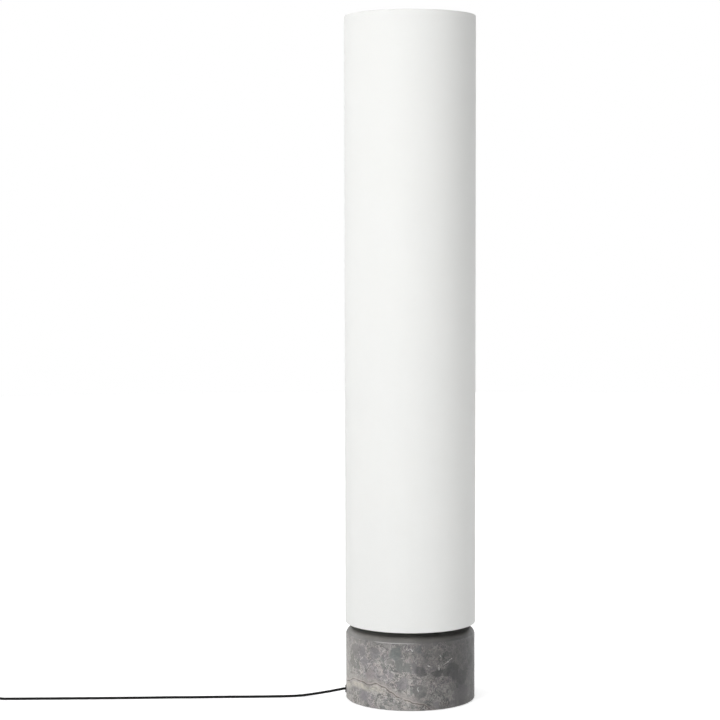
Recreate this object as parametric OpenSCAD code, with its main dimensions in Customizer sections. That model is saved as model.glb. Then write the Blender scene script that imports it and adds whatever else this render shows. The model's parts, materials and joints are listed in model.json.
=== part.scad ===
// Column floor lamp: a turned stone foot, a slim stem with two lampholders and a tall tubular canvas shade.
// Millimetres, +Z up. The origin is on the floor at the middle of the foot. The front is -Y, the cord leaves at -X.

/* [Stone foot] */
// Diameter of the stone
stone_d = 228; // [210:1:229]
// Height of the stone's top above the floor
stone_top = 126; // [110:1:150]
// Height of the stone's underside above the floor
stone_lift = 0.8; // [0.4:0.1:1.5]
// Width of the rounded shoulder round the top
shoulder_w = 9.5; // [5:0.5:14]
// Height of the rounded shoulder round the top
shoulder_h = 10; // [5:0.5:14]
// How far the shoulder swells out from a straight bevel
shoulder_swell = 1.8; // [0.5:0.1:2.2]
// Bevel round the lower edge
foot_bevel = 1.2; // [0.4:0.1:3]
// Diameter of the wiring pocket in the underside
pocket_d = 84; // [78:1:96]
// Height of the pocket's roof above the floor
pocket_top = 34; // [32:1:45]
// Diameter of the felt pad under the stone
pad_d = 205; // [150:1:208]
// Thickness of the felt pad
pad_t = 2; // [1.6:0.1:3]
// Thickness of the steel plate that closes the pocket
cover_t = 1.5; // [1:0.1:2.5]
// How far the cover plate reaches past the pocket on each side
cover_lip = 5; // [3:0.5:8]

/* [Cord outlet] */
// Diameter of the supply cord
cord_d = 4.5; // [4:0.1:5]
// Height of the outlet above the floor
outlet_z = 14.5; // [12:0.5:16]
// Diameter of the outlet's flange
outlet_flange_d = 14; // [12:0.5:15]
// How far the flange stands out from the stone's widest line
outlet_proud = 1.5; // [1:0.1:1.5]
// Outer diameter of the outlet's sleeve
outlet_sleeve_d = 8.4; // [7:0.1:9.5]
// Length of the outlet's sleeve in the stone
outlet_sleeve_l = 16; // [10:1:24]

/* [Stem] */
// Outer diameter of the stem
stem_d = 16; // [15:0.5:18]
// Wall of the stem
stem_wall = 1.5; // [1:0.1:1.6]
// Diameter of the hollow threaded rod through the stone
rod_d = 10; // [9.6:0.1:10.4]
// Bore of the threaded rod
rod_bore = 7; // [6.8:0.1:7.4]
// Length of rod that hangs below the pocket's roof
rod_drop = 13.5; // [12:0.5:15]
// Diameter of the foot plate at the bottom of the stem
foot_plate_d = 60; // [44:1:64]
// Thickness of the foot plate
foot_plate_t = 5; // [4:0.5:7]
// Height of the foot plate's collar above the plate
foot_collar_h = 7; // [4:0.5:8]
// Depth of the threaded plug in the stem's lower end
insert_h = 22; // [18:1:30]
// Diameter of the shoulder that carries the shade
seat_d = 24; // [20:0.5:26]
// Height of the shoulder that carries the shade
seat_h = 4; // [3:0.5:6]
// Depth of the plug in the stem's upper end
top_plug_h = 26; // [20:1:32]

/* [Lower spider] */
// Height of the spider's collar
spider_h = 12; // [10:0.5:12]
// Outer diameter of the spider's collar
spider_d = 26; // [23:0.5:28]
// Diameter of the spider's arms
spider_arm_d = 4; // [3:0.5:5]
// Diameter of the rubber tips
tip_d = 8; // [7:0.5:9]
// Length of the rubber tips
tip_l = 14; // [10:1:18]

/* [Lampholders] */
// Distance of each lampholder's axis from the stem's axis
holder_x = 45; // [44:0.5:52]
// Height of the lower bracket's top
lower_bracket_z = 332; // [300:5:400]
// Height of the upper bracket's top
upper_bracket_z = 780; // [700:5:840]
// Thickness of the bracket arm
arm_t = 4; // [3:0.5:5]
// Width of the bracket arm
arm_w = 20; // [16:1:22]
// Height of the bracket's collar
collar_h = 16; // [14:1:17]
// Wall of the bracket's collar
collar_wall = 4.9; // [4:0.1:6]
// Outer diameter of the lampholder
holder_d = 38; // [36:0.5:42]
// Height of the lampholder
holder_h = 50; // [47:0.5:52]
// Diameter of the lamp's glass
bulb_d = 60; // [55:1:64]
// Length of the lamp with its cap
bulb_l = 110; // [106:1:120]

/* [Shade] */
// Outer diameter of the shade
shade_d = 230; // [230:1:250]
// Height of the shade's lower rim above the stone
shade_gap = 10; // [8:0.5:20]
// Height of the shade from rim to rim
shade_h = 1064; // [1000:2:1200]
// Thickness of the canvas
canvas_t = 0.6; // [0.4:0.1:0.8]
// Thickness of the translucent lining
lining_t = 0.7; // [0.5:0.1:1]
// Diameter of the ring wires
wire_d = 3.2; // [2.6:0.1:3.6]
// Height of the hem that is turned up inside the lower rim
hem_h = 15; // [13:0.5:20]
// How far the top frame's hub lies below the upper rim
hub_drop = 20; // [19:0.5:26]
// Diameter of the top frame's hub
hub_d = 34; // [28:1:40]
// Thickness of the top frame's hub
hub_t = 4; // [3.5:0.5:5]
// Diameter of the top frame's arms
frame_arm_d = 3.5; // [3:0.1:3.5]

/* [Thumb screw] */
// Diameter of the thumb screw's head
screw_head_d = 24; // [18:1:30]
// Height of the thumb screw's head
screw_head_h = 11; // [8:0.5:13]
// Diameter of the thumb screw's shank
screw_shank_d = 8; // [6:0.1:9]
// Length of shank in the stem's plug
screw_reach = 10; // [6:0.5:14]

/* [Foot switch] */
// Length of the switch's housing
switch_l = 80; // [74:1:84]
// Width of the switch's housing
switch_w = 38; // [36:1:42]
// Height of the switch's housing
switch_h = 22; // [21:0.5:24]
// Height of the joint between the housing's two shells
switch_split = 9; // [8:0.5:10]
// Wall of the housing
switch_wall = 2; // [1.6:0.1:2.4]
// Diameter of the push button
button_d = 24; // [20:0.5:25]
// How far the button stands up from the housing
button_proud = 4; // [3.5:0.5:6]
// Travel of the button
button_travel = 2.5; // [2:0.1:3]

/* [Plug] */
// Width of the plug across its pins
plug_w = 35; // [33:0.5:38]
// Thickness of the plug
plug_t = 14; // [13:0.5:16]
// Length of the plug's body
plug_l = 36; // [32:0.5:40]
// Diameter of the plug's pins
pin_d = 4; // [3.8:0.1:4.2]
// Distance between the plug's pins
pin_pitch = 18.6; // [17.5:0.1:20]
// Length of the plug's pins
pin_l = 19; // [17:0.5:20]

/* [Hidden] */
$fn = 64;

stone_c = [0.36, 0.35, 0.35];
canvas_c = [0.95, 0.95, 0.93];
black_c = [0.05, 0.05, 0.05];
white_c = [0.9, 0.9, 0.88];
steel_c = [0.7, 0.71, 0.72];
brass_c = [0.78, 0.62, 0.3];
grey_c = [0.45, 0.45, 0.45];

// Clearances
fit = 0.1;          // between a part and the seat it is fixed in
running = 0.06;     // between a turning shank and its bore
loose = 0.3;        // between a part and a wall that it passes or only faces
skim = 0.2;         // between glued sheets and wires, and between two leads
eps = 0.01;         // overshoot of a cut

// Foot and pocket
stone_r = stone_d / 2;
cover_z = pad_t;
cover_top = cover_z + cover_t;
outlet_x = -stone_r - outlet_proud;
outlet_seat_x = -stone_r + 0.3;
outlet_hole_d = outlet_sleeve_d + 2 * fit;
rod_hole_d = rod_d + 1;
rod_chamfer = 0.8;
nut_chamfer = 0.7;
nut_h = 6;
nut_af = 17;
lock_t = 2;
clamp_t = 2.5;
clamp_d = 44;
nut_top = pocket_top - clamp_t - lock_t;
rod_bottom = pocket_top - rod_drop;
terminal_l = 16;
terminal_x = -30;
terminal_w = 20;
terminal_z = 10;
terminal_top = outlet_z + cord_d / 2 + 1.25;
anchor_x = -pocket_d / 2 + 2.5;
anchor_l = 6;
anchor_top = outlet_z + cord_d / 2 + 2.5;
anchor_screw_y = 4.4;
anchor_screw_d = 2;
anchor_head_r = 1.6;
anchor_head_h = 1.6;

// Stem
stem_r = stem_d / 2;
stem_bore = stem_d - 2 * stem_wall;
plate_top = stone_top + foot_plate_t;
collar_top = plate_top + foot_collar_h;
collar_d = spider_d;
rod_top = plate_top + insert_h - 3;
insert_d = stem_bore - 2 * fit;
shade_bottom = stone_top + shade_gap;
shade_top = shade_bottom + shade_h;
seat_top = shade_top - hub_drop;
stem_top = seat_top - seat_h;
lead_d = 3;
lead_y = lead_d / 2 + skim / 2;
lead_bend = 9;
lead_turn = 5.5;
lead_rise = 8;
exit_drop = 20;
exit_hole_d = 4.6;
spider_mid = shade_bottom + hem_h - tip_d / 2 - 1;
spider_z = spider_mid - spider_h / 2;

// Lampholders, as heights above the bracket's top
nipple_l = arm_t + 8 + 14;
nipple_above = 14;
holder_nut_af = 14;
holder_nut_h = 3;
holder_floor = 20;
holder_bore = 28.4;
shell_d = 27.8;
shell_wall = 0.5;
shell_h = 24;
cap_d = 26.2;
cap_bottom = holder_floor + loose;
cap_h = 29;
thread_pitch = 3.6;
thread_depth = 0.7;
thread_rolls = 5;

// Shade
shade_r = shade_d / 2;
wire_r = wire_d / 2;
hem_r = shade_r - 2 * canvas_t - 2 * skim - wire_d;
ring_r = shade_r - canvas_t - skim - wire_r;
low_ring_z = shade_bottom + canvas_t + skim + wire_r;
top_ring_z = shade_top - canvas_t - skim - wire_r;
lining_r = shade_r - canvas_t - loose;
lining_bottom = low_ring_z + wire_r + loose;
lining_top = top_ring_z - wire_r - loose;
arm_angles = [90, 210, 330];
arm_rise_r = lining_r - lining_t - frame_arm_d / 2 - loose;
arm_bend = 7;
arm_z = seat_top + hub_t / 2;
tip_end = hem_r - loose;

// Foot switch: it lies with its length along X, the lamp's side at its right end
switch_x = -812;
switch_y = -22;
port_z = 7;
pad_thick = 1;
pad_sunk = 0.5;
shell_bottom = pad_thick - pad_sunk;
switch_top = switch_h;
sleeve_l = 20;
sleeve_root = 10;
sleeve_tip = 6.6;
sleeve_lip = 1.5;
button_skirt = 2;
button_crown = 3;
button_roof = switch_top - switch_wall - loose;
button_top = switch_top + button_proud;
pad_margin = 8;
screw_x = switch_l / 2 - 13;
screw_d = 3;
head_d = 5.4;
head_h = 1.5;
boss_d = 7.4;
boss_z = switch_split + 3;
seam_h = 0.5;
seam_depth = 0.4;

// Plug: it lies on its broad side with its pins towards +X
plug_x = -832;
plug_y = 48;
plug_z = plug_t / 2;
plug_neck = 13;
plug_sleeve_l = 28;
pin_sleeve_l = 10;

// Cord: the route's points, on the line of the cord's middle
floor_z = cord_d / 2;
run_points = [
    [outlet_x, 0, outlet_z], [-119, 0, 14.3], [-124, 0, 13.3], [-132, 0, 11.8], [-145, 0.2, 9.3],
    [-160, 0.3, 6.8], [-175, 0.2, 4.5], [-190, -0.8, 2.8], [-204, -3.2, floor_z], [-220, -5.8, floor_z],
    [-245, -7.4, floor_z], [-280, -9, floor_z], [-320, -9.8, floor_z], [-350, -11, floor_z],
    [-385, -12.6, floor_z], [-425, -13.3, floor_z], [-465, -15.2, floor_z], [-510, -17, floor_z],
    [-560, -18.6, floor_z], [-610, -19.8, floor_z], [-660, -20.8, floor_z], [-705, -21.7, floor_z],
    [-722, -22, 2.5], [-734, -22, 4.4], [-744, -22, 6.5], [-752, -22, port_z]
];
link_points = [
    [-872, -22, port_z], [-879, -22, 6.5], [-888, -22, 4.4], [-900, -22, 2.5], [-916, -22, floor_z]
];
tail_points = [
    [-916, 41.4, 17.85], [-909, 41.4, 17.6], [-898, 42.6, 15.8], [-886, 45, 11.8], [-875, 47, 8.4],
    [-867, 48, 7.2], [-860, 48, port_z]
];

// Coil: four layers that spiral in and out by turns
coil_x = -925;
coil_y = 11;
coil_in = 20;
coil_pitch = 5.2;
coil_layer = 5.2;
coil_layer_turns = 2.5;
coil_turns = 9.5;
coil_rings = 24;
coil_sides = 6;
coil_out = coil_in + coil_pitch * coil_layer_turns;
coil_lead = 9;
tie_t = 0.8;
tie_w = 10;
tie_reach = 50;
tie_lift = tie_t + 0.15;

function unit(v) = v / norm(v);
function smooth(u) = let (c = min(1, max(0, u))) c * c * (3 - 2 * c);

// A route's points with k steps between neighbours, on a smooth curve through all of them
function curve(p, k) = [
    for (i = [0:len(p) - 2]) let (
        a = p[max(i - 1, 0)], b = p[i], c = p[i + 1], d = p[min(i + 2, len(p) - 1)])
        for (j = [0:k - 1]) let (t = j / k)
            0.5 * (2 * b + t * (c - a) + t * t * (2 * a - 5 * b + 4 * c - d) + t * t * t * (3 * b - a - 3 * c + d)),
    p[len(p) - 1]
];

function heading(p, i) = unit(p[min(i + 1, len(p) - 1)] - p[max(i - 1, 0)]);

// Rings of n points round a route, each square to the way it runs
function tube_rings(p, r, n) = [
    for (i = [0:len(p) - 1]) let (
        ahead = heading(p, i), side = unit(cross([0, 0, 1], ahead)), up = cross(ahead, side))
        for (k = [0:n - 1]) p[i] + r * (cos(360 * k / n) * side + sin(360 * k / n) * up)
];

// A closed tube of radius r and n sides along a route
module tube(p, r, n) {
    last = (len(p) - 1) * n;
    walls = [
        for (i = [0:len(p) - 2], k = [0:n - 1]) let (
            a = i * n + k, b = i * n + (k + 1) % n)
            each [[a, a + n, b + n], [a, b + n, b]]
    ];
    near_end = [for (k = [1:n - 2]) [0, k, k + 1]];
    far_end = [for (k = [1:n - 2]) [last, last + k + 1, last + k]];
    polyhedron(tube_rings(p, r, n), concat(walls, near_end, far_end));
}

// A pipe: outer and inner diameter, from height z by h
module pipe(outer, inner, z, h) {
    translate([0, 0, z]) difference() {
        cylinder(d = outer, h = h);
        translate([0, 0, -eps]) cylinder(d = inner, h = h + 2 * eps);
    }
}

// A solid turned from points of radius and height
module turned(p) {
    rotate_extrude() polygon(p);
}

// A hexagon nut of width af with a round hole, its corners turned off at both faces
module nut(af, hole, z, h) {
    corner_r = af / 2 / cos(30);
    translate([0, 0, z]) difference() {
        intersection() {
            cylinder(r = corner_r, h = h, $fn = 6);
            turned([
                [0, 0], [af / 2, 0], [corner_r, nut_chamfer], [corner_r, h - nut_chamfer], [af / 2, h], [0, h]]);
        }
        translate([0, 0, -eps]) cylinder(d = hole, h = h + 2 * eps);
    }
}

// A hollow threaded rod from height z by h, its ends chamfered
module hollow_rod(z, h) {
    turned([
        [rod_bore / 2, z], [rod_d / 2 - rod_chamfer, z], [rod_d / 2, z + rod_chamfer],
        [rod_d / 2, z + h - rod_chamfer], [rod_d / 2 - rod_chamfer, z + h], [rod_bore / 2, z + h]]);
}

// A headless set screw from a point, along the direction that the turn gives X, its hexagon socket at the far end
module set_screw(from, turn, l, d) {
    translate(from) rotate(turn) rotate([0, 90, 0]) difference() {
        turned([[0, 0], [d / 4, 0], [d / 2, d / 4], [d / 2, l - 0.3], [d / 2 - 0.3, l], [0, l]]);
        translate([0, 0, l - d / 2]) cylinder(d = d / 2 / cos(30), h = d, $fn = 6);
    }
}

// A length of round lead from a point, along the direction that the turn gives X
module straight(from, turn, l, d) {
    translate(from) rotate(turn) rotate([0, 90, 0]) cylinder(d = d, h = l);
}

// A quarter bend in the XZ plane, of radius r about a point, over the given start angle
module bend(about, r, start, d) {
    translate(about) rotate([90, 0, 0]) rotate([0, 0, start])
        rotate_extrude(angle = 90) translate([r, 0]) circle(d = d);
}

// ---------- stone foot ----------

// Points along the shoulder, from the wall up to the top: an arc that swells out from a straight bevel
function shoulder_arc(steps) = let (
    chord = norm([shoulder_w, shoulder_h]),
    swell_r = chord * chord / (8 * shoulder_swell) + shoulder_swell / 2,
    half = asin(chord / 2 / swell_r),
    along = [-shoulder_w, shoulder_h] / chord,
    outward = [shoulder_h, shoulder_w] / chord,
    middle = [stone_r - shoulder_w / 2, stone_top - shoulder_h / 2])
    [for (i = [0:steps]) let (a = half * (2 * i / steps - 1))
        middle + along * swell_r * sin(a) + outward * (swell_r * (cos(a) - 1) + shoulder_swell)];

module stone_base() {
    color(stone_c) difference() {
        turned(concat(
            [[0, stone_lift], [stone_r - foot_bevel, stone_lift], [stone_r, stone_lift + foot_bevel]],
            shoulder_arc(8),
            [[0, stone_top]]));
        cylinder(d = pad_d + 1, h = pad_t);
        cylinder(d = pocket_d + 2 * cover_lip + 2 * fit, h = cover_top);
        cylinder(d = pocket_d, h = pocket_top);
        cylinder(d = rod_hole_d, h = stone_top + 1);
        translate([outlet_seat_x, 0, outlet_z]) rotate([0, -90, 0]) cylinder(d = outlet_flange_d + 2 * fit, h = 9);
        translate([-pocket_d / 3, 0, outlet_z]) rotate([0, -90, 0]) cylinder(d = outlet_hole_d, h = stone_d);
    }
}

module foot_pad() {
    color(grey_c) cylinder(d = pad_d, h = pad_t);
}

module cover_plate() {
    color(steel_c) translate([0, 0, cover_z]) cylinder(d = pocket_d + 2 * cover_lip, h = cover_t);
}

module side_outlet() {
    color(black_c) translate([outlet_x, 0, outlet_z]) rotate([0, 90, 0]) {
        flange = outlet_seat_x - outlet_x;
        rotate_extrude() polygon([
            [cord_d / 2 + fit, 0], [outlet_flange_d / 2 - 0.4, 0], [outlet_flange_d / 2, 0.4],
            [outlet_flange_d / 2, flange], [outlet_sleeve_d / 2, flange],
            [outlet_sleeve_d / 2, flange + outlet_sleeve_l], [cord_d / 2 + fit, flange + outlet_sleeve_l]]);
    }
}

// The supply cord inside the foot, from the outlet's face to the terminal block
module inner_cord() {
    color(black_c) straight([outlet_x, 0, outlet_z], [0, 0, 0], terminal_x - outlet_x, cord_d);
}

// The saddle that holds the cord down on the cover plate
module cord_anchor() {
    color(black_c) difference() {
        translate([anchor_x, -anchor_l, cover_top]) cube([anchor_l, 2 * anchor_l, anchor_top - cover_top]);
        straight([anchor_x - 1, 0, outlet_z], [0, 0, 0], anchor_l + 2, cord_d + 2 * fit);
        for (side = [-1, 1]) translate([anchor_x + anchor_l / 2, side * anchor_screw_y, cover_top])
            cylinder(d = anchor_screw_d + fit, h = anchor_top);
    }
}

// Two screws with rounded, slotted heads
module anchor_screws() {
    color(steel_c) for (side = [-1, 1])
        translate([anchor_x + anchor_l / 2, side * anchor_screw_y, 0]) difference() {
            turned([
                [0, cover_top], [anchor_screw_d / 2, cover_top], [anchor_screw_d / 2, anchor_top],
                [anchor_head_r, anchor_top], [anchor_head_r, anchor_top + anchor_head_h - 0.7],
                [anchor_head_r - 0.4, anchor_top + anchor_head_h - 0.2], [0, anchor_top + anchor_head_h]]);
            translate([-anchor_head_r - 1, -0.25, anchor_top + anchor_head_h - 0.8])
                cube([2 * anchor_head_r + 2, 0.5, 1]);
        }
}

module terminal_block() {
    color(white_c) difference() {
        translate([terminal_x, -terminal_w / 2, cover_top])
            cube([terminal_l, terminal_w, terminal_top - cover_top]);
        for (side = [-1, 1]) translate([terminal_x + terminal_l / 2, side * 6, terminal_top - 3])
            cylinder(d = 4, h = 4);
    }
}

// ---------- clamping under the stone ----------

module threaded_rod() {
    color(steel_c) hollow_rod(rod_bottom, rod_top - rod_bottom);
}

module clamp_washer() {
    color(steel_c) pipe(clamp_d, rod_d + 2 * fit, pocket_top - clamp_t, clamp_t);
}

module lock_washer() {
    color(steel_c) difference() {
        pipe(nut_af, rod_d + 2 * fit, nut_top, lock_t);
        translate([0, -0.6, nut_top - 1]) cube([nut_af, 1.2, lock_t + 2]);
    }
}

module hex_nut() {
    color(steel_c) nut(nut_af, rod_d + 2 * fit, nut_top - nut_h, nut_h);
}

// ---------- stem ----------

module foot_plate() {
    color(white_c) turned([
        [rod_d / 2 + fit, stone_top], [foot_plate_d / 2 - 0.8, stone_top], [foot_plate_d / 2, stone_top + 0.8],
        [foot_plate_d / 2, plate_top - 1.5], [foot_plate_d / 2 - 1.5, plate_top], [collar_d / 2, plate_top],
        [collar_d / 2, collar_top - 1], [collar_d / 2 - 1, collar_top], [stem_r + fit, collar_top],
        [stem_r + fit, plate_top - 1.5], [rod_d / 2 + fit, plate_top - 1.5]]);
}

module stem_insert() {
    color(steel_c) pipe(insert_d, rod_d + 2 * fit, plate_top - 1.5 + fit, insert_h);
}

module stem() {
    color(white_c) difference() {
        pipe(stem_d, stem_bore, plate_top - 1.5, stem_top - plate_top + 1.5);
        for (side = [-1, 1]) lead_hole(side, exit_hole_d);
    }
}

function exit_z(side) = (side > 0 ? lower_bracket_z : upper_bracket_z) - arm_t - exit_drop;

// The round hole where a lead leaves the stem: the lower one faces +X, the upper one -X
module lead_hole(side, d) {
    translate([0, side * lead_y, exit_z(side)]) rotate([0, side * 90, 0]) cylinder(d = d, h = stem_d);
}

module lead_grommets() {
    color(black_c) for (side = [-1, 1]) difference() {
        intersection() {
            translate([0, side * lead_y, exit_z(side)]) rotate([0, side * 90, 0]) {
                cylinder(d = exit_hole_d - 2 * fit, h = stem_r + 1.2);
                translate([0, 0, stem_r + fit]) cylinder(d = exit_hole_d + 2, h = 1.1);
            }
            translate([side * (stem_bore / 2 + 2), 0, exit_z(side)]) cube([4.4, 12, 12], center = true);
        }
        lead_hole(side, lead_d + fit);
    }
}

// The plug in the stem's upper end: its shoulder carries the shade, its hole takes the thumb screw
module stem_top_plug() {
    hole_r = screw_shank_d / 2 + running;
    color(steel_c) turned([
        [0, stem_top - top_plug_h], [insert_d / 2 - 1, stem_top - top_plug_h],
        [insert_d / 2, stem_top - top_plug_h + 1], [insert_d / 2, stem_top], [seat_d / 2, stem_top],
        [seat_d / 2, seat_top - 0.5], [seat_d / 2 - 0.5, seat_top], [hole_r, seat_top],
        [hole_r, seat_top - screw_reach - 2], [0, seat_top - screw_reach - 4]]);
}

// ---------- lower spider: three arms that centre the shade's lower rim ----------

module lower_spider() {
    color(white_c) difference() {
        union() {
            translate([0, 0, spider_z]) cylinder(d = spider_d, h = spider_h);
            for (a = arm_angles) rotate([0, 0, a])
                straight([spider_d / 2 - 3, 0, spider_mid], [0, 0, 0], tip_end - 3 - spider_d / 2 + 3, spider_arm_d);
        }
        translate([0, 0, spider_z - 1]) cylinder(d = stem_d + 2 * fit, h = spider_h + 2);
        rotate([0, 0, 30]) straight([0, 0, spider_mid], [0, 0, 0], spider_d, 4);
    }
}

module spider_tips() {
    color(black_c) for (a = arm_angles) rotate([0, 0, a])
        translate([tip_end - tip_l, 0, spider_mid]) rotate([0, 90, 0]) turned([
            [spider_arm_d / 2 + 0.05, 0], [tip_d / 2 - 1, 0], [tip_d / 2, 1], [tip_d / 2, tip_l - 1.5],
            [tip_d / 2 - 1.5, tip_l], [0, tip_l], [0, tip_l - 3 + fit], [spider_arm_d / 2 + 0.05, tip_l - 3 + fit]]);
}

module spider_screw() {
    color(steel_c) rotate([0, 0, 30])
        set_screw([stem_r + fit, 0, spider_mid], [0, 0, 0], spider_d / 2 - stem_r + 0.6, 3.9);
}

// ---------- lampholders ----------

// Places what belongs to one lampholder: its own axis is at X = holder_x and its bracket's top at Z = 0
module at_bracket(side) {
    translate([0, 0, side > 0 ? lower_bracket_z : upper_bracket_z]) mirror([side > 0 ? 0 : 1, 0, 0]) children();
}

module bracket() {
    collar_r = stem_r + collar_wall;
    difference() {
        union() {
            translate([0, 0, -collar_h]) cylinder(r = collar_r, h = collar_h);
            translate([0, -arm_w / 2, -arm_t]) cube([holder_x, arm_w, arm_t]);
            translate([holder_x, 0, -arm_t]) cylinder(d = arm_w, h = arm_t);
            rotate([90, 0, 0]) linear_extrude(4, center = true) polygon([
                [stem_r + 2, -arm_t + 1], [stem_r + 2, -collar_h + 1], [collar_r + 1, -collar_h + 1],
                [collar_r + 12, -arm_t], [collar_r + 12, -arm_t + 1]]);
        }
        translate([0, 0, -collar_h - 1]) cylinder(d = stem_d + 2 * fit, h = collar_h + 2);
        translate([holder_x, 0, -arm_t - 1]) cylinder(d = rod_d + 2 * fit, h = arm_t + 2);
        straight([0, 0, -collar_h / 2], [0, 0, 180], stem_d + collar_wall, 4.1);
    }
}

module lower_bracket() {
    color(white_c) at_bracket(1) bracket();
}

module upper_bracket() {
    color(white_c) at_bracket(-1) bracket();
}

module bracket_screws() {
    color(steel_c) for (side = [-1, 1]) at_bracket(side)
        set_screw([-stem_r - fit, 0, -collar_h / 2], [0, 0, 180], collar_wall + 0.5, 4);
}

module holder_nipples() {
    color(steel_c) for (side = [-1, 1]) at_bracket(side)
        translate([holder_x, 0, 0]) hollow_rod(nipple_above - nipple_l, nipple_l);
}

module holder_nuts() {
    color(brass_c) for (side = [-1, 1]) at_bracket(side)
        translate([holder_x, 0, 0]) nut(holder_nut_af, rod_d + 2 * fit, -arm_t - holder_nut_h, holder_nut_h);
}

// A lampholder: a domed lower cap, a joint line, a ribbed skirt and an open mouth
module lampholder() {
    r = holder_d / 2;
    translate([holder_x, 0, 0]) difference() {
        turned([
            [rod_d / 2 + fit, 0], [r - 7, 0], [r - 3, 1.6], [r - 0.8, 5], [r, 9], [r, 21.4], [r - 0.7, 21.8],
            [r - 0.7, 22.6], [r, 23], [r, holder_h - 4], [r + 1, holder_h - 3.4], [r + 1, holder_h - 0.6],
            [r + 0.4, holder_h], [holder_bore / 2, holder_h], [holder_bore / 2, holder_floor],
            [rod_d / 2 + fit, holder_floor]]);
        for (a = [0:15:345]) rotate([0, 0, a]) translate([r + 0.6, 0, 26]) cylinder(d = 2.2, h = holder_h - 33);
    }
}

module lower_lampholder() {
    color(white_c) at_bracket(1) lampholder();
}

module upper_lampholder() {
    color(white_c) at_bracket(-1) lampholder();
}

module screw_shells() {
    color(brass_c) for (side = [-1, 1]) at_bracket(side)
        translate([holder_x, 0, 0]) pipe(shell_d, shell_d - 2 * shell_wall, holder_floor + fit, shell_h);
}

// The cap: a centre contact, an insulating cone, a rolled thread and a plain collar under the glass
module bulb_cap() {
    r = cap_d / 2;
    thread_z = cap_bottom + 6;
    translate([holder_x, 0, 0]) turned(concat(
        [[0, cap_bottom], [3, cap_bottom], [4.5, cap_bottom + 1.5], [9, cap_bottom + 3.5]],
        [for (i = [0:4 * thread_rolls]) [r - thread_depth * (1 + cos(90 * i)) / 2, thread_z + i * thread_pitch / 4]],
        [[r, thread_z + (thread_rolls + 0.5) * thread_pitch], [r, cap_bottom + cap_h], [0, cap_bottom + cap_h]]));
}

// The glass: a neck that opens on a smooth curve into a ball
function bulb_outline(inset) = let (
    ball_r = bulb_d / 2 - inset,
    centre = cap_bottom + bulb_l - bulb_d / 2,
    neck_r = cap_d / 2 + 0.9 - inset,
    neck_z = cap_bottom + cap_h,
    meet = 35,
    meet_r = ball_r * cos(meet),
    meet_z = centre - ball_r * sin(meet))
    concat(
        [for (i = [0:8]) let (u = i / 8)
            [neck_r + (3 * u * u - 2 * u * u * u) * (meet_r - neck_r)
                + (u * u * u - u * u) * (meet_z - neck_z) * tan(meet), neck_z + u * (meet_z - neck_z)]],
        [for (a = [-meet + 5:5:90]) [ball_r * cos(a), centre + ball_r * sin(a)]]);

module bulb_glass() {
    outer = bulb_outline(0);
    inner = bulb_outline(1);
    translate([holder_x, 0, 0])
        turned(concat(outer, [for (i = [len(inner) - 1:-1:0]) inner[i]]));
}

module lower_bulb_cap() {
    color(steel_c) at_bracket(1) bulb_cap();
}

module upper_bulb_cap() {
    color(steel_c) at_bracket(-1) bulb_cap();
}

module lower_bulb_glass() {
    color("white") at_bracket(1) bulb_glass();
}

module upper_bulb_glass() {
    color("white") at_bracket(-1) bulb_glass();
}

// A lead from the terminal block up the stem and out to one lampholder
module lamp_lead(side) {
    out_z = exit_z(side);
    rise_z = out_z + lead_rise;
    end_z = (side > 0 ? lower_bracket_z : upper_bracket_z) + 6;
    block_face = terminal_x + terminal_l;
    translate([0, side * lead_y, 0]) {
        straight([block_face, 0, terminal_z], [0, 0, 0], -lead_bend - block_face, lead_d);
        bend([-lead_bend, 0, terminal_z + lead_bend], lead_bend, 270, lead_d);
        translate([0, 0, terminal_z + lead_bend])
            cylinder(d = lead_d, h = out_z - lead_turn - terminal_z - lead_bend);
        mirror([side > 0 ? 0 : 1, 0, 0]) {
            bend([lead_turn, 0, out_z - lead_turn], lead_turn, 90, lead_d);
            straight([lead_turn, 0, out_z], [0, 0, 0], holder_x - lead_rise - lead_turn, lead_d);
            bend([holder_x - lead_rise, 0, rise_z], lead_rise, 270, lead_d);
            translate([holder_x, 0, rise_z]) cylinder(d = lead_d, h = end_z - rise_z);
        }
    }
}

module lower_lead() {
    color(white_c) lamp_lead(1);
}

module upper_lead() {
    color(white_c) lamp_lead(-1);
}

// ---------- shade ----------

// The canvas: a tube whose edges are folded over the ring wires and turned back inside
module shade_canvas() {
    fold = canvas_t + skim + wire_r;
    inner = shade_r - canvas_t;
    hem_out = hem_r + canvas_t;
    color(canvas_c) turned([
        [shade_r, shade_bottom + 0.3], [shade_r, shade_top - 0.3], [shade_r - 0.3, shade_top],
        [hem_r + 0.3, shade_top], [hem_r, shade_top - 0.3], [hem_r, shade_top - fold],
        [hem_out, shade_top - fold], [hem_out, shade_top - canvas_t], [inner, shade_top - canvas_t],
        [inner, shade_bottom + canvas_t], [hem_out, shade_bottom + canvas_t], [hem_out, shade_bottom + hem_h],
        [hem_r, shade_bottom + hem_h], [hem_r, shade_bottom + 0.3], [hem_r + 0.3, shade_bottom],
        [shade_r - 0.3, shade_bottom]]);
}

module shade_lining() {
    color(white_c) pipe(2 * lining_r, 2 * (lining_r - lining_t), lining_bottom, lining_top - lining_bottom);
}

module wire_ring(z) {
    translate([0, 0, z]) rotate_extrude() translate([ring_r, 0]) circle(r = wire_r);
}

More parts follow.
